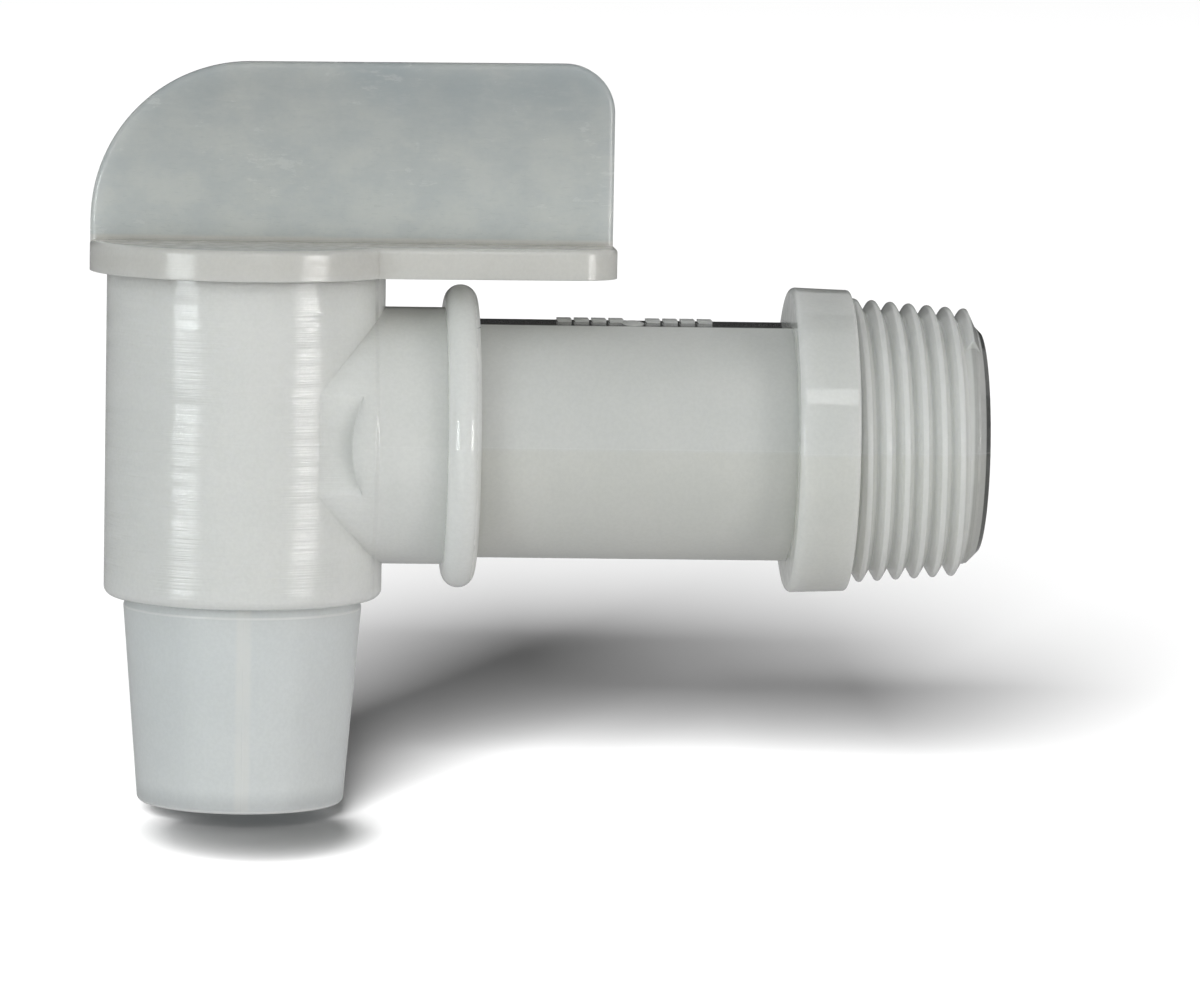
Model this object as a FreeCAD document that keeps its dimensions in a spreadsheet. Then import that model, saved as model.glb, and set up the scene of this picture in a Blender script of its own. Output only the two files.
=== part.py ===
import FreeCAD, Part
import Sketcher
import math
import os
import re

# Drum faucet in natural polyethylene: a valve body with a tapered pipe thread,
# and a hollow rotary plug with a spout and a handle that turns in its barrel.
#
# Millimetres, +Z up. The origin is the centre of the collar's thread-side face,
# on the shank's axis. +X runs out of the inlet, so the barrel stands at -X.

os.makedirs("parts", exist_ok=True)
doc = FreeCAD.newDocument("drum_faucet")

# ---------------------------------------------------------------- dimensions

DIMENSIONS = {
    # how far a cut or an overlap runs past the face that it ends on
    "overshoot": 1.0,
    # valve body, along the shank from the barrel's axis
    "barrel_to_collar_face": 58.9,
    "barrel_to_collar_back": 53.1,
    "barrel_to_bead": 20.9,
    # barrel
    "barrel_radius": 13.55,
    "barrel_top": 15.72,
    "barrel_bottom": -15.87,
    "barrel_rim_round": 0.9,
    "barrel_bore_radius": 10.95,
    # stub between the barrel and the bead
    "stub_radius": 12.55,
    "relief_half_width": 11.6,
    "relief_reach": 16.1,
    "bead_radius": 14.8,
    "bead_width": 3.2,
    "bead_round": 1.58,
    # shank and its flat
    "shank_radius": 11.85,
    "flat_height": 11.23,
    "flat_half_width": 5.0,
    # collar
    "collar_back_radius": 14.95,
    "collar_face_radius": 14.75,
    "collar_back_round": 0.55,
    "collar_face_round": 0.25,
    # thread
    "thread_pitch": 1.814,
    "thread_taper": 4.4,
    "thread_depth": 1.12,
    "thread_crest_round": 0.3,
    "thread_flank_angle": 30.0,
    "thread_embed": 0.6,
    "thread_start": -1.288,
    "thread_turns": 7.1,
    "root_radius_at_collar": 12.86,
    "root_end": 11.6,
    "root_end_radius": 11.97,
    "thread_fade_start": 11.3,
    "thread_fade_end": 12.25,
    "thread_crest_radius": 13.5,
    "lead_in_overlap": 0.4,
    "lead_in_radius": 11.9,
    "lead_in_chamfer": 1.1,
    "inlet_end": 12.95,
    # inlet bore and the pocket of its seat ring
    "inlet_bore_radius": 8.2,
    "seat_outer_radius": 9.6,
    "seat_inner_radius": 7.4,
    "barrel_to_seat_back": 14.0,
    # raised marks on the flat
    "mark_height": 0.3,
    "mark_length": 1.35,
    "mark_width": 2.5,
    "mark_front": 0.5,
    "mark_step": 1.7,
    "barrel_to_first_mark": 31.1,
    "barrel_to_second_group": 39.8,
    "pad_half_length": 1.1,
    "pad_half_width": 2.8,
    "barrel_to_pad": 37.7,
    "pad_offset": -0.6,
    # rotary plug
    "plug_radius": 10.9,
    "plug_top": 15.3,
    "groove_height": 12.4,
    "groove_half_width": 1.0,
    "groove_radius": 9.33,
    "flow_bore_radius": 7.6,
    "flow_bore_top": 8.6,
    "port_radius": 7.0,
    "socket_side": 12.0,
    "socket_floor": 10.6,
    "socket_corner": 1.5,
    "snap_height": 12.6,
    "snap_length": 6.0,
    "snap_recess_depth": 0.4,
    "snap_recess_half_height": 0.55,
    # spout
    "spout_shoulder": -15.95,
    "spout_shoulder_radius": 11.35,
    "spout_widest": -16.85,
    "spout_widest_radius": 11.62,
    "spout_mouth": -36.1,
    "spout_mouth_radius": 10.06,
    "spout_mouth_round": 0.6,
    "mouth_bore_radius": 8.3,
    "mouth_bore_top": -22.0,
    # O-rings
    "ring_section_radius": 0.8,
    "ring_centre_radius": 10.13,
    # handle
    "flange_bottom": 15.84,
    "flange_top": 18.8,
    "flange_radius": 15.24,
    "flange_edge_round": 0.5,
    "arm_root_half_width": 9.4,
    "arm_end": 35.9,
    "arm_end_half_width": 7.2,
    "arm_corner": 4.5,
    "paddle_left": -15.2,
    "paddle_right": 35.6,
    "paddle_top": 36.5,
    "paddle_rise": 0.4,
    "paddle_thickness": 2.3,
    "paddle_sink": 0.4,
    "paddle_back_round": 15.5,
    "paddle_front_round": 4.8,
    "paddle_edge_round": 0.6,
    "hub_side": 11.9,
    "hub_bottom": 10.75,
    "hub_corner": 1.45,
    "hub_lead": 0.5,
    "hub_sink": 0.5,
    "snap_ridge_depth": 0.3,
    "snap_ridge_length": 5.6,
    "snap_ridge_half_height": 0.45,
}

sheet = doc.addObject("Spreadsheet::Sheet", "Sizes")
for row, (alias, size) in enumerate(DIMENSIONS.items(), start=1):
    sheet.set("A%d" % row, alias)
    sheet.set("B%d" % row, str(size))
    sheet.setAlias("B%d" % row, alias)
doc.recompute()


def bound(formula):
    """Turns 'barrel_radius - 1' into the expression 'Sizes.barrel_radius - 1'."""
    return re.sub(r"\b[a-z_]{3,}\b(?!\()", lambda name: "Sizes." + name.group(0), formula)


def size_of(formula):
    """The value of a formula of sheet sizes, in millimetres or degrees."""
    return float(sheet.evalExpression(bound(formula)))


def bind(thing, setting, formula):
    """Makes one property of a document object follow the sheet."""
    thing.setExpression(setting, bound(formula))


# ------------------------------------------------------------- sketch helpers


def new_body(label, barrel_axis=False):
    """A sub-part's body. One built about the barrel's axis is placed at -X."""
    body = doc.addObject("PartDesign::Body", label)
    body.Label = label
    if barrel_axis:
        bind(body, "Placement.Base.x", "-barrel_to_collar_face")
    return body


def new_sketch(body, name, plane, offset="0"):
    """A sketch on one of the body's own origin planes, moved along its normal."""
    sketch = body.newObject("Sketcher::SketchObject", name)
    planes = [item for item in body.Origin.OriginFeatures if item.Role == plane]
    sketch.AttachmentSupport = [(planes[0], "")]
    sketch.MapMode = "FlatFace"
    bind(sketch, "AttachmentOffset.Base.z", offset)
    return sketch


def pin_point(sketch, curve, end, across, up):
    """Fixes one end or centre of a curve at two sheet formulas."""
    for kind, formula, axis in (("DistanceX", across, -2), ("DistanceY", up, -1)):
        if abs(size_of(formula)) < 1e-9:
            sketch.addConstraint(Sketcher.Constraint("PointOnObject", curve, end, axis))
            continue
        number = sketch.addConstraint(
            Sketcher.Constraint(kind, -1, 1, curve, end, size_of(formula))
        )
        name = "%s_%d" % (kind.lower(), number)
        sketch.renameConstraint(number, name)
        bind(sketch, "Constraints." + name, formula)


def draw_outline(sketch, corners):
    """A closed outline of straight lines, one corner for each pair of formulas."""
    points = []
    for across, up in corners:
        points.append(FreeCAD.Vector(size_of(across), size_of(up), 0))
    count = len(points)
    first = sketch.GeometryCount
    for number in range(count):
        line = Part.LineSegment(points[number], points[(number + 1) % count])
        sketch.addGeometry(line, False)
    for number in range(count):
        following = first + (number + 1) % count
        sketch.addConstraint(
            Sketcher.Constraint("Coincident", first + number, 2, following, 1)
        )
    for number, (across, up) in enumerate(corners):
        pin_point(sketch, first + number, 1, across, up)


def draw_circle(sketch, across, up, radius):
    """A circle with its centre and radius bound to the sheet."""
    centre = FreeCAD.Vector(size_of(across), size_of(up), 0)
    circle = Part.Circle(centre, FreeCAD.Vector(0, 0, 1), size_of(radius))
    number = sketch.addGeometry(circle, False)
    pin_point(sketch, number, 3, across, up)
    rule = sketch.addConstraint(Sketcher.Constraint("Radius", number, size_of(radius)))
    sketch.renameConstraint(rule, "radius_%d" % rule)
    bind(sketch, "Constraints.radius_%d" % rule, radius)


def draw_relief(sketch, chord):
    """The piece of a circle about the barrel's axis that lies beyond a chord."""
    height = size_of(chord)
    reach = size_of("relief_reach")
    centre = FreeCAD.Vector(size_of("-barrel_to_collar_face"), 0, 0)
    half_chord = math.sqrt(reach * reach - height * height)
    left = centre + FreeCAD.Vector(-half_chord, height, 0)
    right = centre + FreeCAD.Vector(half_chord, height, 0)
    outermost = centre + FreeCAD.Vector(0, math.copysign(reach, height), 0)
    line = sketch.addGeometry(Part.LineSegment(left, right), False)
    arc = sketch.addGeometry(Part.Arc(left, outermost, right), False)
    # an arc runs anticlockwise, so its ends swap over on the far side
    arc_left, arc_right = (1, 2) if height < 0 else (2, 1)
    sketch.addConstraint(Sketcher.Constraint("Coincident", arc, arc_left, line, 1))
    sketch.addConstraint(Sketcher.Constraint("Coincident", arc, arc_right, line, 2))
    sketch.addConstraint(Sketcher.Constraint("Horizontal", line))
    pin_point(sketch, arc, 3, "-barrel_to_collar_face", "0")
    for name, rule, formula in (
        ("reach", Sketcher.Constraint("Radius", arc, reach), "relief_reach"),
        ("chord", Sketcher.Constraint("DistanceY", -1, 1, line, 1, height), chord),
    ):
        number = sketch.addConstraint(rule)
        title = "%s_%d" % (name, number)
        sketch.renameConstraint(number, title)
        bind(sketch, "Constraints." + title, formula)


def revolve(body, kind, name, sketch, axis):
    """A full turn of a sketch about its own H_Axis or V_Axis."""
    feature = body.newObject("PartDesign::" + kind, name)
    feature.Profile = sketch
    feature.ReferenceAxis = (sketch, [axis])
    feature.Angle = 360.0
    return feature


def extrude(body, kind, name, sketch, length, both_ways=False, backwards=False):
    """A pad or pocket of a sketch, of a length bound to the sheet."""
    feature = body.newObject("PartDesign::" + kind, name)
    feature.Profile = sketch
    bind(feature, "Length", length)
    if both_ways:
        feature.SideType = "Symmetric"
    feature.Reversed = backwards
    return feature


def edges_where(shape, test):
    """Names of a shape's edges whose bounding box meets a test."""
    names = []
    for number, edge in enumerate(shape.Edges, start=1):
        if test(edge, edge.BoundBox):
            names.append("Edge%d" % number)
    return names


def soften(body, kind, name, edge_test, amount):
    """A fillet or chamfer of the body's present edges that meet a test."""
    doc.recompute()
    base = body.Tip
    feature = body.newObject("PartDesign::" + kind, name)
    feature.Base = (base, edges_where(base.Shape, edge_test))
    bind(feature, "Radius" if kind == "Fillet" else "Size", amount)
    doc.recompute()
    return feature


def near(value, formula, slack=0.02):
    """True where a length is the one a formula gives."""
    return abs(value - size_of(formula)) < slack


def is_ring_at(box, formula, radius):
    """True for a circle about the shank's axis at one place along it."""
    return (
        near(box.XMin, formula)
        and near(box.XMax, formula)
        and near(box.ZMax, radius, 0.1)
        and near(box.YMax, radius, 0.1)
    )


def is_level_at(box, formula):
    """True for an edge that lies level at one height."""
    return near(box.ZMin, formula) and near(box.ZMax, formula)


# ---------------------------------------------------------------- valve body


def raised_marks(body):
    """Two rows of plain raised bars on the flat, with an oval pad between them."""
    marks = new_sketch(body, "MarkOutline", "XY_Plane", "flat_height - mark_height")
    for first in ("barrel_to_first_mark", "barrel_to_second_group"):
        left = first + " - barrel_to_collar_face - mark_length / 2"
        right = first + " - barrel_to_collar_face + mark_length / 2"
        draw_outline(marks, [
            (left, "mark_front"),
            (right, "mark_front"),
            (right, "mark_front + mark_width"),
            (left, "mark_front + mark_width"),
        ])
    bars = extrude(body, "Pad", "MarkBars", marks, "mark_height * 2")
    rows = body.newObject("PartDesign::LinearPattern", "MarkRows")
    rows.Originals = [bars]
    rows.Direction = (marks, ["H_Axis"])
    rows.Occurrences = 4
    bind(rows, "Length", "mark_step * 3")
    body.Tip = rows
    doc.recompute()

    pad = body.newObject("PartDesign::AdditiveEllipsoid", "MarkPad")
    bind(pad, "Radius1", "mark_height")
    bind(pad, "Radius2", "pad_half_length")
    bind(pad, "Radius3", "pad_half_width")
    bind(pad, "Placement.Base.x", "barrel_to_pad - barrel_to_collar_face")
    bind(pad, "Placement.Base.y", "pad_offset")
    bind(pad, "Placement.Base.z", "flat_height")
    doc.recompute()


def inlet_thread(body):
    """Right-handed tapered pipe thread: a rounded ridge wound about the root."""
    ridge = new_sketch(body, "RidgeOutline", "XZ_Plane")
    root = "(root_radius_at_collar - thread_start * tan(thread_taper))"
    crest_centre = root + " + thread_depth - thread_crest_round"
    tangent_across = "thread_crest_round * cos(thread_flank_angle)"
    tangent_up = crest_centre + " + thread_crest_round * sin(thread_flank_angle)"
    flank_drop = (
        "(thread_depth - thread_crest_round"
        " + thread_crest_round * sin(thread_flank_angle)) * tan(thread_flank_angle)"
    )
    half_base = "(" + tangent_across + " + " + flank_drop + ")"

    left_base = ("thread_start - " + half_base, root)
    left_foot = ("thread_start - " + half_base, root + " - thread_embed")
    right_foot = ("thread_start + " + half_base, root + " - thread_embed")
    right_base = ("thread_start + " + half_base, root)
    left_crest = ("thread_start - " + tangent_across, tangent_up)
    right_crest = ("thread_start + " + tangent_across, tangent_up)
    corners = [right_crest, right_base, right_foot, left_foot, left_base, left_crest]
    points = [FreeCAD.Vector(size_of(x), size_of(y), 0) for x, y in corners]
    for number in range(len(points) - 1):
        sketch_line = Part.LineSegment(points[number], points[number + 1])
        ridge.addGeometry(sketch_line, False)
    for number in range(len(points) - 2):
        ridge.addConstraint(
            Sketcher.Constraint("Coincident", number, 2, number + 1, 1)
        )
    for number, (across, up) in enumerate(corners[1:-1], start=1):
        pin_point(ridge, number, 1, across, up)
    top = FreeCAD.Vector(size_of("thread_start"), size_of(root + " + thread_depth"), 0)
    arc = ridge.addGeometry(Part.Arc(points[0], top, points[-1]), False)
    last = len(points) - 2
    ridge.addConstraint(Sketcher.Constraint("Tangent", arc, 1, 0, 1))
    ridge.addConstraint(Sketcher.Constraint("Tangent", arc, 2, last, 2))
    pin_point(ridge, arc, 3, "thread_start", crest_centre)

    helix = body.newObject("PartDesign::AdditiveHelix", "InletThread")
    helix.Profile = ridge
    helix.ReferenceAxis = (ridge, ["H_Axis"])
    helix.Mode = "pitch-turns-angle"
    helix.HasBeenEdited = True
    bind(helix, "Pitch", "thread_pitch")
    bind(helix, "Turns", "thread_turns")
    bind(helix, "Angle", "-thread_taper")
    doc.recompute()

    # plain chamfered lead-in past the root
    lead_in = new_sketch(body, "LeadInOutline", "XZ_Plane")
    draw_outline(lead_in, [
        ("root_end - lead_in_overlap", "0"),
        ("root_end - lead_in_overlap", "lead_in_radius"),
        ("inlet_end - lead_in_chamfer", "lead_in_radius"),
        ("inlet_end", "lead_in_radius - lead_in_chamfer"),
        ("inlet_end", "0"),
    ])
    revolve(body, "Revolution", "LeadIn", lead_in, "H_Axis")
    doc.recompute()

    # the last part turn of the ridge sinks steeply into the end's chamfer
    fade = new_sketch(body, "ThreadFadeOutline", "XZ_Plane")
    chamfer_radius = "lead_in_radius - lead_in_chamfer + inlet_end - thread_fade_end"
    draw_outline(fade, [
        ("thread_fade_start", "thread_crest_radius"),
        ("thread_fade_end", chamfer_radius),
        ("inlet_end + overshoot", chamfer_radius),
        ("inlet_end + overshoot", "thread_crest_radius + overshoot"),
        ("thread_fade_start", "thread_crest_radius + overshoot"),
    ])
    revolve(body, "Groove", "ThreadFade", fade, "H_Axis")
    doc.recompute()


def valve_body():
    """Barrel, stub, bead, shank, collar and threaded inlet, moulded in one piece."""
    body = new_body("valve_body")

    # stub, shank, collar and thread root, turned about the shank's axis
    outline = new_sketch(body, "ShankOutline", "XZ_Plane")
    draw_outline(outline, [
        ("-barrel_to_collar_face", "0"),
        ("-barrel_to_collar_face", "stub_radius"),
        ("barrel_to_bead - barrel_to_collar_face", "stub_radius"),
        ("barrel_to_bead - barrel_to_collar_face", "shank_radius"),
        ("barrel_to_collar_back - barrel_to_collar_face", "shank_radius"),
        ("barrel_to_collar_back - barrel_to_collar_face", "collar_back_radius"),
        ("0", "collar_face_radius"),
        ("0", "root_radius_at_collar"),
        ("root_end", "root_end_radius"),
        ("root_end", "0"),
    ])
    revolve(body, "Revolution", "Shank", outline, "H_Axis")
    collar_back = "barrel_to_collar_back - barrel_to_collar_face"
    soften(
        body, "Fillet", "CollarBackRound",
        lambda edge, box: is_ring_at(box, collar_back, "collar_back_radius"), "collar_back_round",
    )
    soften(
        body, "Fillet", "CollarFaceRound",
        lambda edge, box: is_ring_at(box, "0", "collar_face_radius"), "collar_face_round",
    )

    # narrow flat along the top of the shank, from the bead to the collar
    flat = new_sketch(body, "FlatOutline", "XY_Plane", "flat_height")
    draw_outline(flat, [
        ("barrel_to_bead - barrel_to_collar_face", "-flat_half_width"),
        (collar_back, "-flat_half_width"),
        (collar_back, "flat_half_width"),
        ("barrel_to_bead - barrel_to_collar_face", "flat_half_width"),
    ])
    extrude(body, "Pocket", "ShankFlat", flat, "shank_radius - flat_height + overshoot", backwards=True)

    # full-round bead about the stub's end
    bead_outline = new_sketch(body, "BeadOutline", "XZ_Plane")
    bead_left = "barrel_to_bead - barrel_to_collar_face - bead_width / 2"
    bead_right = "barrel_to_bead - barrel_to_collar_face + bead_width / 2"
    draw_outline(bead_outline, [
        (bead_left, "shank_radius - overshoot"),
        (bead_left, "bead_radius"),
        (bead_right, "bead_radius"),
        (bead_right, "shank_radius - overshoot"),
    ])
    revolve(body, "Revolution", "Bead", bead_outline, "H_Axis")
    soften(
        body, "Fillet", "BeadRound",
        lambda edge, box: is_ring_at(box, bead_left, "bead_radius")
        or is_ring_at(box, bead_right, "bead_radius"), "bead_round",
    )

    # shallow flat relief on each side of the stub, next to the barrel
    relief = new_sketch(body, "ReliefOutline", "XY_Plane")
    for side in ("", "-"):
        draw_relief(relief, side + "relief_half_width")
    extrude(body, "Pocket", "StubRelief", relief, "stub_radius", both_ways=True)

    # barrel
    barrel = new_sketch(body, "BarrelOutline", "XY_Plane", "barrel_bottom")
    draw_circle(barrel, "-barrel_to_collar_face", "0", "barrel_radius")
    extrude(body, "Pad", "Barrel", barrel, "barrel_top - barrel_bottom")
    soften(
        body, "Fillet", "BarrelRimRound",
        lambda edge, box: is_level_at(box, "barrel_bottom"), "barrel_rim_round",
    )

    raised_marks(body)
    inlet_thread(body)

    # flow bore from the inlet, pocket for the seat ring, and the plug's bore
    inlet = new_sketch(body, "InletBoreOutline", "YZ_Plane", "inlet_end")
    draw_circle(inlet, "0", "0", "inlet_bore_radius")
    extrude(body, "Pocket", "InletBore", inlet, "inlet_end + barrel_to_collar_face")
    seat_back = "barrel_to_seat_back - barrel_to_collar_face"
    seat = new_sketch(body, "SeatPocketOutline", "YZ_Plane", seat_back)
    draw_circle(seat, "0", "0", "seat_outer_radius")
    extrude(body, "Pocket", "SeatPocket", seat, "barrel_to_seat_back")
    plug_bore = new_sketch(body, "PlugBoreOutline", "XY_Plane", "barrel_top")
    draw_circle(plug_bore, "-barrel_to_collar_face", "0", "barrel_bore_radius")
    extrude(body, "Pocket", "PlugBore", plug_bore, "barrel_top - barrel_bottom")
    return body


def inlet_seat_ring():
    """Soft ring behind the inlet, with a saddle face that the plug turns against."""
    body = new_body("inlet_seat_ring", barrel_axis=True)
    ring = new_sketch(body, "RingOutline", "YZ_Plane")
    draw_circle(ring, "0", "0", "seat_outer_radius")
    draw_circle(ring, "0", "0", "seat_inner_radius")
    extrude(body, "Pad", "Ring", ring, "barrel_to_seat_back")
    saddle = new_sketch(body, "SaddleOutline", "XY_Plane")
    draw_circle(saddle, "0", "0", "barrel_bore_radius")
    extrude(body, "Pocket", "Saddle", saddle, "barrel_radius * 2", both_ways=True)
    return body


# --------------------------------------------------------------- rotary plug


def rotary_plug():
    """Hollow plug with a side port, O-ring grooves, handle socket and spout."""
    body = new_body("rotary_plug", barrel_axis=True)
    outline = new_sketch(body, "PlugOutline", "XZ_Plane")
    corners = [("0", "plug_top"), ("plug_radius", "plug_top")]
    for centre in ("groove_height", "-groove_height"):
        corners += [
            ("plug_radius", centre + " + groove_half_width"),
            ("groove_radius", centre + " + groove_half_width"),
            ("groove_radius", centre + " - groove_half_width"),
            ("plug_radius", centre + " - groove_half_width"),
        ]
    corners += [
        ("plug_radius", "spout_shoulder"),
        ("spout_shoulder_radius", "spout_shoulder"),
        ("spout_widest_radius", "spout_widest"),
        ("spout_mouth_radius", "spout_mouth"),
        ("0", "spout_mouth"),
    ]
    draw_outline(outline, corners)
    revolve(body, "Revolution", "Plug", outline, "V_Axis")
    soften(
        body, "Fillet", "MouthRound",
        lambda edge, box: is_level_at(box, "spout_mouth") and near(box.XMax, "spout_mouth_radius"),
        "spout_mouth_round",
    )

    # flow bore down through the spout, wider at the mouth
    bore = new_sketch(body, "FlowBoreOutline", "XZ_Plane")
    draw_outline(bore, [
        ("0", "flow_bore_top"),
        ("flow_bore_radius", "flow_bore_top"),
        ("flow_bore_radius", "mouth_bore_top + mouth_bore_radius - flow_bore_radius"),
        ("mouth_bore_radius", "mouth_bore_top"),
        ("mouth_bore_radius", "spout_mouth - overshoot"),
        ("0", "spout_mouth - overshoot"),
    ])
    revolve(body, "Groove", "FlowBore", bore, "V_Axis")

    # side port, which faces the inlet when the handle lies along the shank
    port = new_sketch(body, "PortOutline", "YZ_Plane")
    draw_circle(port, "0", "0", "port_radius")
    extrude(body, "Pocket", "Port", port, "plug_radius + overshoot", backwards=True)

    # square socket for the handle's hub, with recesses for its snap ridges
    socket = new_sketch(body, "SocketOutline", "XY_Plane", "plug_top")
    draw_outline(socket, square("socket_side"))
    extrude(body, "Pocket", "Socket", socket, "plug_top - socket_floor")
    soften(
        body, "Fillet", "SocketCorners",
        lambda edge, box: is_upright_corner(box, "socket_side"), "socket_corner",
    )
    recess = new_sketch(body, "SnapRecessOutline", "XY_Plane", "snap_height + snap_recess_half_height")
    draw_outline(recess, oblong("socket_side / 2 + snap_recess_depth", "snap_length / 2"))
    extrude(body, "Pocket", "SnapRecess", recess, "snap_recess_half_height * 2")
    return body


def square(side):
    """Corners of a square about the sketch's origin."""
    return oblong(side + " / 2", side + " / 2")


def oblong(half_across, half_up):
    """Corners of a rectangle about the sketch's origin."""
    return [
        ("-(" + half_across + ")", "-(" + half_up + ")"),
        (half_across, "-(" + half_up + ")"),
        (half_across, half_up),
        ("-(" + half_across + ")", half_up),
    ]


def is_upright_corner(box, side):
    """True for an upright edge at a corner of a square about the barrel's axis."""
    across = abs(box.Center.x)
    depth = abs(box.Center.y)
    half = side + " / 2"
    upright = box.ZLength > 1 and box.XLength < 0.01 and box.YLength < 0.01
    return upright and near(across, half) and near(depth, half)


def o_ring(label, height):
    """A round-section ring that fills one of the plug's grooves."""
    ring = doc.addObject("Part::Torus", label)
    ring.Label = label
    bind(ring, "Radius1", "ring_centre_radius")
    bind(ring, "Radius2", "ring_section_radius")
    bind(ring, "Placement.Base.x", "-barrel_to_collar_face")
    bind(ring, "Placement.Base.z", height)
    return ring


# -------------------------------------------------------------------- handle


def paddle_blank():
    """The upright paddle by itself, about the handle's own origin."""
    body = new_body("paddle_blank")
    paddle = new_sketch(body, "PaddleOutline", "XZ_Plane")
    draw_outline(paddle, [
        ("paddle_left", "flange_top - paddle_sink"),
        ("paddle_right", "flange_top - paddle_sink"),
        ("paddle_right", "paddle_top"),
        ("paddle_left", "paddle_top - paddle_rise"),
    ])
    extrude(body, "Pad", "Paddle", paddle, "paddle_thickness", both_ways=True)
    soften(
        body, "Fillet", "PaddleBackCorner",
        lambda edge, box: is_level_at(box, "paddle_top - paddle_rise")
        and near(box.XMax, "paddle_left"),
        "paddle_back_round",
    )
    soften(
        body, "Fillet", "PaddleFrontCorner",
        lambda edge, box: is_level_at(box, "paddle_top") and near(box.XMin, "paddle_right"),
        "paddle_front_round",
    )
    soften(
        body, "Fillet", "PaddleEdges",
        lambda edge, box: box.YLength < 0.01
        and near(abs(box.YMin), "paddle_thickness / 2")
        and not is_level_at(box, "flange_top - paddle_sink"),
        "paddle_edge_round",
    )
    return body


def handle():
    """Flag-shaped paddle on a round flange with an arm, and a square hub below."""
    body = new_body("handle", barrel_axis=True)
    disc = new_sketch(body, "FlangeOutline", "XY_Plane", "flange_bottom")
    draw_circle(disc, "0", "0", "flange_radius")
    extrude(body, "Pad", "Flange", disc, "flange_top - flange_bottom")
    arm = new_sketch(body, "ArmOutline", "XY_Plane", "flange_bottom")
    draw_outline(arm, [
        ("0", "-arm_root_half_width"),
        ("arm_end", "-arm_end_half_width"),
        ("arm_end", "arm_end_half_width"),
        ("0", "arm_root_half_width"),
    ])
    extrude(body, "Pad", "Arm", arm, "flange_top - flange_bottom")
    soften(
        body, "Fillet", "ArmCorners",
        lambda edge, box: box.XLength < 0.01 and box.YLength < 0.01 and near(box.XMax, "arm_end"),
        "arm_corner",
    )
    soften(
        body, "Fillet", "FlangeTopRound",
        lambda edge, box: is_level_at(box, "flange_top"), "flange_edge_round",
    )

    joined = body.newObject("PartDesign::Boolean", "FlangeAndPaddle")
    joined.setObjects([paddle_blank()])
    joined.Type = "Fuse"
    doc.recompute()

    hub = new_sketch(body, "HubOutline", "XY_Plane", "hub_bottom")
    draw_outline(hub, square("hub_side"))
    extrude(body, "Pad", "Hub", hub, "flange_bottom - hub_bottom + hub_sink")
    soften(
        body, "Fillet", "HubCorners",
        lambda edge, box: is_upright_corner(box, "hub_side"), "hub_corner",
    )
    soften(
        body, "Chamfer", "HubLead",
        lambda edge, box: is_level_at(box, "hub_bottom"), "hub_lead",
    )
    ridge = new_sketch(body, "SnapRidgeOutline", "XY_Plane", "snap_height - snap_ridge_half_height")
    draw_outline(ridge, oblong("hub_side / 2 + snap_ridge_depth", "snap_ridge_length / 2"))
    extrude(body, "Pad", "SnapRidges", ridge, "snap_ridge_half_height * 2")
    return body


# ------------------------------------------------------------ build and write

sub_parts = [
    valve_body(),
    inlet_seat_ring(),
    rotary_plug(),
    o_ring("upper_o_ring", "groove_height"),
    o_ring("lower_o_ring", "-groove_height"),
    handle(),
]
doc.recompute()

for item in doc.Objects:
    if "Invalid" in item.State or "Error" in item.State:
        raise RuntimeError("%s did not rebuild: %s" % (item.Name, item.State))

# every feature of a body has to add or remove some material
for body in doc.findObjects("PartDesign::Body"):
    before = 0.0
    for feature in body.Group:
        if not feature.isDerivedFrom("PartDesign::Feature"):
            continue
        after = feature.Shape.Volume
        if abs(after - before) < 1e-4:
            raise RuntimeError("%s changes nothing in %s" % (feature.Name, body.Label))
        before = after

for item in sub_parts:
    shape = item.Shape
    if shape.isNull() or not shape.isValid() or len(shape.Solids) != 1:
        raise RuntimeError("%s is not one valid solid" % item.Label)
    shape.exportStep("parts/%s.step" % item.Label)
    print("%-16s %9.1f mm3" % (item.Label, shape.Volume))
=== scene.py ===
"""Looks of the drum faucet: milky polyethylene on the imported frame, a pale floor and soft studio light.

Everything is in metres, in the row's own frame: +X runs out of the inlet and +Z up the barrel.
"""

import math

import bpy
from mathutils import Matrix, Vector


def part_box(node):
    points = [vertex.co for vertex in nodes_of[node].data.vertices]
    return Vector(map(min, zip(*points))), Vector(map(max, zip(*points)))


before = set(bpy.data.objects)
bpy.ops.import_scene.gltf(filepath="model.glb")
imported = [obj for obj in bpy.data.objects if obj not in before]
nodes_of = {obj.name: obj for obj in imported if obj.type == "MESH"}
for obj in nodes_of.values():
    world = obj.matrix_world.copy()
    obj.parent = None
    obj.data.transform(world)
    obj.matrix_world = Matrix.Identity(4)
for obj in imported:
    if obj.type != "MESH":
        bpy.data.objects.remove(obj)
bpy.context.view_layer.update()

MM = 0.001

# places that everything else is measured from
plug_low, plug_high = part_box("rotary_plug")
body_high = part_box("valve_body")[1]
handle_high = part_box("handle")[1]
BARREL_X = (plug_low[0] + plug_high[0]) / 2
MOUTH_Z = plug_low[2]
PADDLE_TOP_Z = handle_high[2]
INLET_END_X = body_high[0]
COLLAR_FACE_X = 0.0
MIDDLE = Vector((BARREL_X + 30 * MM, 0, 0))

FLOOR_Z = MOUTH_Z - 1.5 * MM
FLOOR_ALBEDO = 0.9


# ------------------------------------------------------------------ camera


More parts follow.
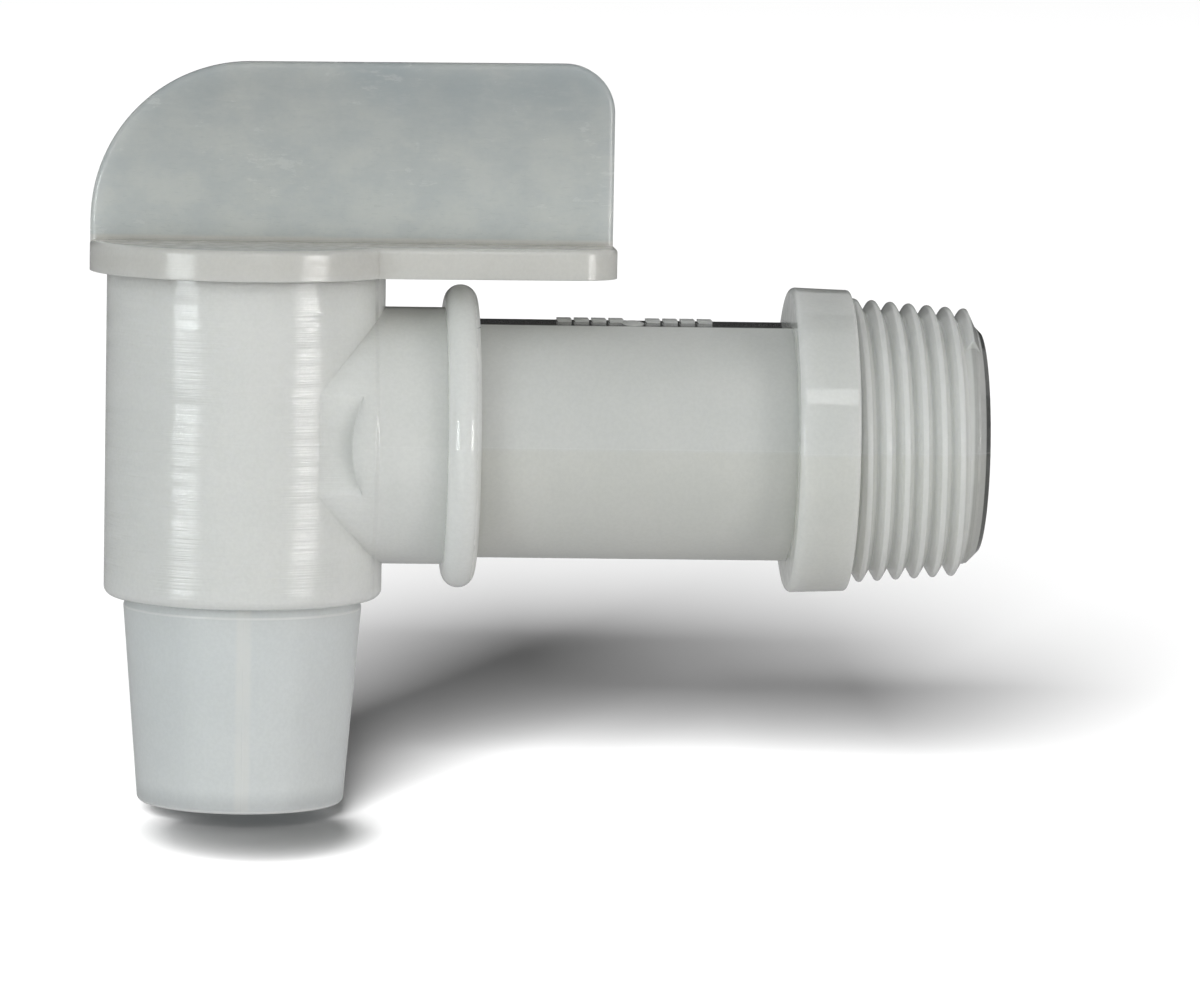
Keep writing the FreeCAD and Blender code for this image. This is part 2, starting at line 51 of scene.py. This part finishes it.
def set_camera():
    """A long lens a little above the shank, turned slightly towards the inlet's end."""
    yaw = math.radians(3.90)
    pitch = math.radians(5.93)
    roll = math.radians(1.06)
    distance = 0.6561
    aim_right = 34.76 * MM
    aim_down = 5.87 * MM
    lens_mm = 201.9
    sensor_mm = 36.0

    level_right = Vector((math.cos(yaw), -math.sin(yaw), 0))
    forward = Vector((
        math.sin(yaw) * math.cos(pitch),
        math.cos(yaw) * math.cos(pitch),
        -math.sin(pitch),
    ))
    level_up = Vector((
        math.sin(yaw) * math.sin(pitch),
        math.cos(yaw) * math.sin(pitch),
        math.cos(pitch),
    ))
    right = level_right * math.cos(roll) + level_up * math.sin(roll)
    up = level_up * math.cos(roll) - level_right * math.sin(roll)
    target = Vector((BARREL_X, 0, 0)) + level_right * aim_right - level_up * aim_down
    place = target - forward * distance

    data = bpy.data.cameras.new("camera")
    data.lens = lens_mm
    data.sensor_width = sensor_mm
    data.clip_start = 0.01
    data.clip_end = 50.0
    camera = bpy.data.objects.new("camera", data)
    bpy.context.collection.objects.link(camera)
    turn = Matrix((right, up, -forward)).transposed()
    camera.matrix_world = Matrix.Translation(place) @ turn.to_4x4()
    bpy.context.scene.camera = camera


set_camera()


# ---------------------------------------------------------- floor and light

scene = bpy.context.scene
scene.view_settings.view_transform = "Standard"


def collection_of(name, objects):
    """A collection that a light can be limited to."""
    made = bpy.data.collections.new(name)
    for thing in objects:
        made.objects.link(thing)
    return made


def make_floor():
    """A wide plain floor just under the spout."""
    reach = 12.0
    mesh = bpy.data.meshes.new("floor")
    corners = [(-reach, -reach, 0), (reach, -reach, 0), (reach, reach, 0), (-reach, reach, 0)]
    mesh.from_pydata(corners, [], [(0, 1, 2, 3)])
    floor = bpy.data.objects.new("floor", mesh)
    floor.location = (BARREL_X, 0, FLOOR_Z)
    bpy.context.collection.objects.link(floor)
    material = bpy.data.materials.new("floor_paper")
    material.use_nodes = True
    shader = material.node_tree.nodes["Principled BSDF"]
    shader.inputs["Base Color"].default_value = (FLOOR_ALBEDO, FLOOR_ALBEDO, FLOOR_ALBEDO, 1)
    shader.inputs["Roughness"].default_value = 1.0
    shader.inputs["Specular IOR Level"].default_value = 0.0
    mesh.materials.append(material)
    return floor


floor = make_floor()
on_floor = collection_of("lit_floor", [floor])
on_faucet = collection_of("lit_faucet", list(nodes_of.values()))


def make_shadow_card():
    """Small oval card that is never seen. Its shadow deepens the one at the spout's foot."""
    half_width = 10.5 * MM
    half_depth = half_width * 1.6
    to_left = 0.5 * MM
    to_front = 23 * MM
    height = 5 * MM
    steps = 48

    mesh = bpy.data.meshes.new("shadow_card")
    corners = []
    for step in range(steps):
        turn = 2 * math.pi * step / steps
        corners.append((half_width * math.cos(turn), half_depth * math.sin(turn), 0))
    mesh.from_pydata(corners, [], [tuple(range(steps))])
    card = bpy.data.objects.new("shadow_card", mesh)
    card.location = (BARREL_X - to_left, -to_front, FLOOR_Z + height)
    bpy.context.collection.objects.link(card)
    card.visible_camera = False
    card.visible_diffuse = False
    card.visible_glossy = False
    card.visible_transmission = False
    return card


card = make_shadow_card()
over_floor = collection_of("over_floor", list(nodes_of.values()) + [card])

# the camera sees the floor, but the faucet does not: set_world() gives the light that it sends up
floor.visible_diffuse = False
floor.visible_glossy = False
floor.visible_transmission = False
floor.visible_shadow = False


def towards(azimuth, elevation):
    """Direction from the faucet: azimuth 0 is the camera's side, positive to its right."""
    a = math.radians(azimuth)
    e = math.radians(elevation)
    return Vector((math.sin(a) * math.cos(e), -math.cos(a) * math.cos(e), math.sin(e)))


def aim_light(light, outward, receivers, blockers):
    """Turns a light back along its outward direction and limits what it lights and what shades it."""
    light.rotation_mode = "QUATERNION"
    light.rotation_quaternion = outward.to_track_quat("Z", "Y")
    light.light_linking.receiver_collection = receivers
    light.light_linking.blocker_collection = blockers
    light.visible_camera = False


def add_panel(name, azimuths, elevations, radiance, colour, distance, receivers, blockers):
    """A flat light that spans the given angles, in degrees, from the given distance."""
    outward = towards(sum(azimuths) / 2, sum(elevations) / 2)
    data = bpy.data.lights.new(name, "AREA")
    data.shape = "RECTANGLE"
    data.size = 2 * distance * math.tan(math.radians(azimuths[1] - azimuths[0]) / 2)
    data.size_y = 2 * distance * math.tan(math.radians(elevations[1] - elevations[0]) / 2)
    data.energy = math.pi * radiance * data.size * data.size_y
    data.color = colour
    light = bpy.data.objects.new(name, data)
    bpy.context.collection.objects.link(light)
    light.location = MIDDLE + outward * distance
    aim_light(light, outward, receivers, blockers)


def softbox(name, azimuths, elevations, radiance, colour):
    """A rectangular softbox that lights only the faucet."""
    add_panel(name, azimuths, elevations, radiance, colour, SOFTBOX_DISTANCE, on_faucet, on_faucet)


def floor_key(name, azimuths, elevations, share):
    """A far softbox that gives the floor this share of its white."""
    low, high = (math.sin(math.radians(angle)) ** 2 for angle in elevations)
    spread = math.radians(azimuths[1] - azimuths[0]) * (high - low) / 2
    radiance = share * math.pi / FLOOR_ALBEDO / spread
    add_panel(name, azimuths, elevations, radiance, WHITE, KEY_DISTANCE, on_floor, over_floor)


def floor_fill(name, angle, share):
    """Broad light from straight above that gives the floor this share of its white."""
    data = bpy.data.lights.new(name, "SUN")
    data.angle = math.radians(angle)
    data.energy = share * math.pi / FLOOR_ALBEDO
    light = bpy.data.objects.new(name, data)
    bpy.context.collection.objects.link(light)
    aim_light(light, Vector((0, 0, 1)), on_floor, over_floor)


SOFTBOX_DISTANCE = 3.0
KEY_DISTANCE = 60.0
WHITE = (1.0, 1.0, 1.0)
GREENISH = (0.97, 1.0, 0.98)
COOL = (0.94, 1.0, 1.0)
WARM = (1.0, 0.985, 0.96)

# each softbox: its azimuths, its elevations and its radiance, where 1 is the white of the picture
softbox("front_fill", (-60, 60), (-35, 42), 0.385, GREENISH)
softbox("overhead_fill", (-60, 60), (42, 96), 0.44, GREENISH)
softbox("left_fill", (-105, -63), (-30, 40), 0.06, COOL)
softbox("back_fill", (115, 245), (22, 62), 0.50, WHITE)
softbox("left_softbox", (-61, -40), (-5.2, 12), 7.2, COOL)
softbox("right_softbox", (41, 60), (-5.8, 12), 7.2, WARM)
softbox("front_softbox", (7, 15), (32, 44), 3.0, WHITE)

# the floor's two lights together make it white
floor_key("floor_key", (-20.5, -0.5), (9.5, 27), 0.99)
floor_fill("floor_fill", 80.0, 0.04)


def set_world():
    """Dim room above, and below it the light that a white table sends back up."""
    above = 0.035
    below = 0.36
    edge_low = -0.12
    edge_high = 0.02
    world = bpy.data.worlds.new("studio")
    scene.world = world
    world.use_nodes = True
    tree = world.node_tree
    direction = tree.nodes.new("ShaderNodeTexCoord")
    axes = tree.nodes.new("ShaderNodeSeparateXYZ")
    step = tree.nodes.new("ShaderNodeMapRange")
    step.interpolation_type = "SMOOTHSTEP"
    step.inputs["From Min"].default_value = edge_low
    step.inputs["From Max"].default_value = edge_high
    step.inputs["To Min"].default_value = below
    step.inputs["To Max"].default_value = above
    tree.links.new(direction.outputs["Generated"], axes.inputs[0])
    tree.links.new(axes.outputs["Z"], step.inputs["Value"])
    tree.links.new(step.outputs[0], tree.nodes["Background"].inputs["Strength"])
    tree.nodes["Background"].inputs["Color"].default_value = (1, 1, 1, 1)


set_world()


# ----------------------------------------------------------------- materials


class Nodes:
    """A new material, with short ways to add and link its shader nodes."""

    def __init__(self, name):
        """Starts with the object's own coordinates and a bevel that rounds the sharp edges."""
        self.material = bpy.data.materials.new(name)
        self.material.use_nodes = True
        self.tree = self.material.node_tree
        self.shader = self.tree.nodes["Principled BSDF"]
        self.place = self.add("ShaderNodeTexCoord").outputs["Object"]
        self.soft_edges = self.add("ShaderNodeBevel", samples=4)
        self.soft_edges.inputs["Radius"].default_value = 0.2 * MM

    def add(self, kind, **settings):
        """Adds one node and sets its properties."""
        node = self.tree.nodes.new(kind)
        for name, value in settings.items():
            setattr(node, name, value)
        return node

    def link(self, source, socket):
        """Feeds a socket from a number, a tuple or another node's output."""
        if isinstance(source, (int, float, tuple)):
            socket.default_value = source
        else:
            self.tree.links.new(source, socket)

    def math(self, operation, *values):
        """One arithmetic step on numbers or outputs."""
        node = self.add("ShaderNodeMath", operation=operation)
        for value, socket in zip(values, node.inputs):
            self.link(value, socket)
        return node.outputs[0]

    def times(self, first, second):
        """The product, which is also where two masks overlap."""
        return self.math("MULTIPLY", first, second)

    def apart(self, value, centre):
        """Distance of a value from a centre."""
        return self.math("ABSOLUTE", self.math("SUBTRACT", value, centre))

    def ramp(self, value, low, high, to_low=0.0, to_high=1.0):
        """A smooth step from to_low at low to to_high at high."""
        node = self.add("ShaderNodeMapRange", interpolation_type="SMOOTHSTEP")
        names = ("Value", "From Min", "From Max", "To Min", "To Max")
        for name, entry in zip(names, (value, low, high, to_low, to_high)):
            self.link(entry, node.inputs[name])
        return node.outputs[0]

    def fall(self, value, low, high):
        """1 up to low and 0 from high on."""
        return self.ramp(value, low, high, 1.0, 0.0)

    def noise(self, scale, detail=4.0, roughness=0.5, stretch=(1, 1, 1), shift=(0, 0, 0)):
        """Soft noise between 0 and 1. A large stretch along an axis makes it fine along that axis."""
        mapping = self.add("ShaderNodeMapping")
        self.link(self.place, mapping.inputs["Vector"])
        mapping.inputs["Scale"].default_value = stretch
        mapping.inputs["Location"].default_value = shift
        node = self.add("ShaderNodeTexNoise")
        self.link(mapping.outputs[0], node.inputs["Vector"])
        node.inputs["Scale"].default_value = scale
        node.inputs["Detail"].default_value = detail
        node.inputs["Roughness"].default_value = roughness
        return node.outputs["Fac"]

    def blend(self, amount, first, second, mode="MIX"):
        """Mixes two colours by the amount."""
        node = self.add("ShaderNodeMix", data_type="RGBA", blend_type=mode)
        self.link(amount, node.inputs["Factor"])
        self.link(first, node.inputs["A"])
        self.link(second, node.inputs["B"])
        return node.outputs["Result"]

    def tint(self, colour, mask, share, new, mode="MIX"):
        """Brings this share of a new colour into a colour where the mask is 1."""
        return self.blend(self.times(mask, share), colour, (*new, 1), mode)

    def shade(self, colour, amount):
        """Multiplies a colour by one number."""
        grey = self.add("ShaderNodeCombineColor")
        for socket in grey.inputs[:3]:
            self.link(amount, socket)
        return self.blend(1.0, colour, grey.outputs[0], "MULTIPLY")

    def shade_where(self, colour, mask, amount):
        """Multiplies a colour by the amount where the mask is 1."""
        return self.shade(colour, self.ramp(mask, 0.0, 1.0, 1.0, amount))

    def bump(self, below, height, strength, distance):
        """Raises the surface below by the height, which is 0 to 1, times the distance."""
        node = self.add("ShaderNodeBump")
        self.link(height, node.inputs["Height"])
        node.inputs["Strength"].default_value = strength
        node.inputs["Distance"].default_value = distance
        self.link(below, node.inputs["Normal"])
        return node.outputs[0]

    def grazing(self, low, high):
        """0 where the surface is faced, 1 where it is seen at a shallow angle."""
        node = self.add("ShaderNodeLayerWeight")
        return self.ramp(node.outputs["Facing"], low, high)

    def axes(self):
        """The place's x, y and z, in metres."""
        node = self.add("ShaderNodeSeparateXYZ")
        self.link(self.place, node.inputs[0])
        return node.outputs

    def finish(self, colour, roughness, surface):
        """Joins the last colour, roughness and normal to the shader."""
        self.link(colour, self.shader.inputs["Base Color"])
        self.link(roughness, self.shader.inputs["Roughness"])
        self.link(surface, self.shader.inputs["Normal"])
        return self.material


def span(start, low, high):
    """Two places that are this many millimetres past the start. A look changes between them."""
    return start + low * MM, start + high * MM


def specks(n, scale, share, radius):
    """1 inside sparse dark specks, 0 elsewhere. Share is the part of the cells that hold one."""
    least = radius * 0.4
    more = radius * 1.2
    cells = n.add("ShaderNodeTexVoronoi", feature="F1")
    n.link(n.place, cells.inputs["Vector"])
    cells.inputs["Scale"].default_value = scale
    colour = n.add("ShaderNodeSeparateColor")
    n.link(cells.outputs["Color"], colour.inputs[0])
    chosen = n.math("GREATER_THAN", colour.outputs[0], 1.0 - share)
    wobble = n.times(n.noise(scale=scale * 6, detail=2.0), more)
    edge = n.math("ADD", least, wobble)
    inside = n.math("LESS_THAN", cells.outputs["Distance"], edge)
    return n.times(chosen, inside)


def polyethylene(name, light, dark, roughness, scatter_mm):
    """Milky plastic: cloudy colour, faint grain, pinhole specks and soft light inside."""
    speck_grey = (0.13, 0.13, 0.12)
    n = Nodes(name)
    cloud = n.ramp(n.noise(scale=110, detail=5.0, roughness=0.6), 0.36, 0.66)
    colour = n.blend(cloud, (*dark, 1), (*light, 1))
    grain = n.noise(scale=2600, detail=2.0, roughness=0.6)
    colour = n.shade(colour, n.ramp(grain, 0.3, 0.7, 0.965, 1.0))
    colour = n.tint(colour, specks(n, scale=210, share=0.030, radius=0.045), 0.7, speck_grey)
    n.shader.inputs["IOR"].default_value = 1.5
    n.shader.inputs["Subsurface Weight"].default_value = 1.0
    n.shader.inputs["Subsurface Radius"].default_value = (1.0, 1.0, 1.05)
    n.shader.inputs["Subsurface Scale"].default_value = scatter_mm * MM
    smears = n.noise(scale=700, detail=4.0)
    smeared = n.ramp(smears, 0.3, 0.7, roughness - 0.03, roughness + 0.05)
    surface = n.bump(n.soft_edges.outputs[0], grain, strength=0.10, distance=0.02 * MM)
    return n, colour, smeared, surface


def body_material():
    """The valve body: turned rings, a mould line, a satin shank, and painted shade and light by zone,
    darkest at the inlet edge.
    """
    flat_z = 11.23 * MM
    crest_radius = 13.98 * MM
    end_face_radius = 10.80 * MM
    thread_taper = math.radians(4.4)
    warm = (0.95, 0.94, 0.90)
    root_painted_light = (0.93, 0.94, 0.925)
    crest_painted_highlight = (0.97, 0.975, 0.96)
    line_white = (0.93, 0.94, 0.93)
    satin_roughness = 0.34
    polish = -0.30
    least_roughness = 0.06

    n, colour, roughness, surface = polyethylene(
        "body_polyethylene",
        light=(0.89, 0.895, 0.875),
        dark=(0.865, 0.875, 0.855),
        roughness=0.09,
        scatter_mm=4.0,
    )
    x, y, z = n.axes()
    radius = n.math("SQRT", n.math("ADD", n.times(y, y), n.times(z, z)))
    on_barrel = n.fall(x, *span(BARREL_X, 12.3, 12.8))
    past_bead = n.ramp(x, *span(BARREL_X, 21.5, 22.6))
    past_shank = n.ramp(x, *span(COLLAR_FACE_X, -6.3, -5.6))
    on_shank = n.math("SUBTRACT", past_bead, past_shank)
    at_lead_in = n.ramp(x, *span(INLET_END_X, -1.85, -1.55))
    at_chamfer = n.ramp(x, *span(INLET_END_X, -0.55, -0.40))
    at_chamfer = n.times(at_chamfer, n.ramp(radius, *span(end_face_radius, -0.05, 0.05)))

    # painted shade and light: the stub and the shank are painted darker and the collar lighter, since
    # thinner walls scatter less of the light back
    colour = n.shade(colour, n.ramp(x, *span(BARREL_X, 9.5, 14.5), 1.0, 0.92))
    colour = n.shade_where(colour, past_bead, 0.89)
    colour = n.shade_where(colour, past_shank, 1.05)
    # painted shade: the lead-in and the inlet's end chamfer are painted darker, the chamfer for the dark
    # that it reflects
    colour = n.shade_where(colour, at_lead_in, 0.72)
    colour = n.shade_where(colour, at_chamfer, 0.22)

    # painted reflection: the narrow flat on top of the shank is darkened where it is seen at a shallow
    # angle, for the dark that it reflects there
    on_flat = n.times(on_shank, n.ramp(z, *span(flat_z, -0.04, -0.01)))
    on_flat = n.times(on_flat, n.fall(z, *span(flat_z, 0.03, 0.07)))
    colour = n.shade_where(colour, n.times(on_flat, n.grazing(0.76, 0.85)), 0.12)

    # below the mould line the shank is a little warmer
    lower = n.times(past_bead, n.fall(z, *span(0.0, -0.4, 0.1)))
    colour = n.tint(colour, lower, 0.5, warm, "MULTIPLY")

    # painted light and shade on the thread: the whole thread is painted a little darker, its roots nearly
    # as pale as its crests, since light passes through the ridges, and its crests get a painted highlight
    level = n.math("ADD", radius, n.times(x, math.tan(thread_taper)))
    on_thread = n.math("SUBTRACT", n.ramp(x, *span(COLLAR_FACE_X, 0.2, 0.5)), at_lead_in)
    root = n.times(on_thread, n.fall(level, *span(crest_radius, -0.98, -0.23)))
    crest = n.times(on_thread, n.ramp(level, *span(crest_radius, -0.22, -0.08)))
    colour = n.shade_where(colour, on_thread, 0.90)
    colour = n.tint(colour, root, 0.55, root_painted_light)
    colour = n.tint(colour, crest, 0.35, crest_painted_highlight)

    # rings left by turning the mould: fine ones and broad waves around the barrel
    rings = n.noise(scale=1.0, detail=3.0, roughness=0.65, stretch=(90, 90, 4600))
    waves = n.noise(scale=1.0, detail=2.0, roughness=0.5, stretch=(50, 50, 300))
    ring_strength = n.ramp(waves, 0.35, 0.65, 0.25, 1.0)
    rings = n.times(n.times(rings, ring_strength), on_barrel)
    surface = n.bump(surface, rings, strength=1.0, distance=0.07 * MM)
    surface = n.bump(surface, n.times(waves, on_barrel), strength=1.0, distance=0.30 * MM)

    # and fine ones around the collar and the thread
    lathe = n.noise(scale=1.0, detail=3.0, roughness=0.6, stretch=(5200, 60, 60))
    surface = n.bump(surface, n.times(lathe, past_shank), strength=0.30, distance=0.015 * MM)

    # fine mould line along the body at mid height
    line = n.fall(n.math("ABSOLUTE", z), *span(0.0, 0.02, 0.09))
    surface = n.bump(surface, line, strength=0.3, distance=0.02 * MM)
    colour = n.tint(colour, line, 0.10, line_white)

    satin = n.times(on_shank, satin_roughness)
    polished = n.times(n.math("MAXIMUM", on_flat, at_lead_in), polish)
    roughness = n.math("ADD", n.math("ADD", roughness, satin), polished)
    roughness = n.math("MAXIMUM", roughness, least_roughness)
    return n.finish(colour, roughness, surface)


def plug_material():
    """The plug and spout: cooler plastic with a paler mould seam down its front and back."""
    widest_z = MOUTH_Z + 19.25 * MM
    seam_white = (0.82, 0.825, 0.81)
    pooled_light_white = (0.92, 0.93, 0.93)

    n, colour, roughness, surface = polyethylene(
        "plug_polyethylene",
        light=(0.785, 0.81, 0.815),
        dark=(0.765, 0.79, 0.795),
        roughness=0.22,
        scatter_mm=3.5,
    )
    x, _, z = n.axes()
    across = n.apart(x, BARREL_X)
    band = n.fall(across, *span(0.0, 0.45, 0.95))
    band = n.times(band, n.ramp(n.noise(scale=160, detail=3.0), 0.3, 0.6, 0.45, 1.0))
    colour = n.tint(colour, band, 0.75, seam_white)
    seam = n.fall(across, *span(0.0, 0.02, 0.08))
    surface = n.bump(surface, seam, strength=0.4, distance=0.03 * MM)

    # painted light pools at the widest ring and at the mouth's rim, and painted shade just above the
    # mouth
    rim = n.fall(z, *span(MOUTH_Z, 0.15, 0.45))
    colour = n.shade(colour, n.ramp(z, *span(MOUTH_Z, 0.5, 2.6), 0.80, 1.0))
    ring = n.fall(n.apart(z, widest_z), *span(0.0, 0.05, 0.16))
    colour = n.tint(colour, n.math("MAXIMUM", rim, ring), 0.7, pooled_light_white)
    return n.finish(colour, roughness, surface)


def handle_material():
    """The handle: a warm flange and arm, and a thin cool paddle that is scuffed all over."""
    flange_top_z = 18.8 * MM
    thin_dark = (0.51, 0.535, 0.535)
    thin_light = (0.575, 0.59, 0.575)
    blue_grey = (0.40, 0.45, 0.48)
    scuff_white = (0.62, 0.63, 0.61)
    scratch_grey = (0.40, 0.43, 0.43)
    scuff_roughness = 0.16

    n, colour, roughness, surface = polyethylene(
        "handle_polyethylene",
        light=(0.715, 0.705, 0.675),
        dark=(0.69, 0.68, 0.65),
        roughness=0.13,
        scatter_mm=3.0,
    )
    _, _, z = n.axes()
    up_paddle = n.ramp(z, *span(flange_top_z, 0.3, 0.7))

    # cloudy, and bluish grey where the plate is thin; the paddle's grey is darker than the flange's,
    # partly its own colour and partly painted shade for the light that leaves through the thin plate
    clouds = n.noise(scale=230, detail=7.0, roughness=0.68, stretch=(1.0, 1.0, 1.5))
    thin = n.blend(n.ramp(clouds, 0.30, 0.70), (*thin_dark, 1), (*thin_light, 1))
    high = n.ramp(z, *span(PADDLE_TOP_Z, -9.46, -0.46))
    blues = n.noise(scale=75, detail=3.0, shift=(3, 0, 1))
    blue = n.times(high, n.ramp(blues, 0.40, 0.62))
    thin = n.tint(thin, blue, 0.5, blue_grey)
    # painted light and shade: the paddle is painted lighter low down and darker towards its top
    thin = n.shade(thin, n.ramp(z, flange_top_z + 0.2 * MM, PADDLE_TOP_Z - 1.46 * MM, 1.14, 0.92))

    # wispy scuffs, mostly sideways, and finer scratches over them
    wisps = n.noise(scale=1.0, detail=8.0, roughness=0.72, stretch=(420, 420, 1500))
    wisps = n.ramp(wisps, 0.47, 0.62)
    patches = n.noise(scale=130, detail=4.0, roughness=0.6, shift=(0, 5, 0))
    scuffs = n.times(wisps, n.ramp(patches, 0.30, 0.65))
    thin = n.tint(thin, scuffs, 0.30, scuff_white)
    hairs = n.noise(
        scale=1.0, detail=5.0, roughness=0.75, stretch=(700, 700, 3600), shift=(0, 0, 7))
    thin = n.tint(thin, n.ramp(hairs, 0.55, 0.66), 0.20, scratch_grey)
    colour = n.blend(up_paddle, colour, thin)
    surface = n.bump(surface, n.times(wisps, up_paddle), strength=0.15, distance=0.02 * MM)

    # turned rings around the flange's edge, but not on its level top
    below_paddle = n.math("SUBTRACT", 1.0, up_paddle)
    rings = n.noise(scale=1.0, detail=3.0, roughness=0.65, stretch=(90, 90, 4200))
    on_rim = n.times(below_paddle, n.fall(z, *span(flange_top_z, -0.6, -0.2)))
    surface = n.bump(surface, n.times(rings, on_rim), strength=0.6, distance=0.03 * MM)

    scuffed = n.times(n.times(scuffs, up_paddle), scuff_roughness)
    roughness = n.math("ADD", roughness, scuffed)
    return n.finish(colour, roughness, surface)


def seal_material():
    """Natural elastomer of the hidden seals."""
    n, colour, roughness, surface = polyethylene(
        "seal_rubber",
        light=(0.72, 0.72, 0.70),
        dark=(0.66, 0.66, 0.64),
        roughness=0.5,
        scatter_mm=1.0,
    )
    return n.finish(colour, roughness, surface)


def paint(node, material):
    """Gives a CAD node one material."""
    thing = nodes_of[node]
    if not thing.material_slots:
        thing.data.materials.append(material)
    for entry in thing.material_slots:
        entry.material = material


paint("valve_body", body_material())
paint("rotary_plug", plug_material())
paint("handle", handle_material())
seal = seal_material()
for ring in ("upper_o_ring", "lower_o_ring", "inlet_seat_ring"):
    paint(ring, seal)
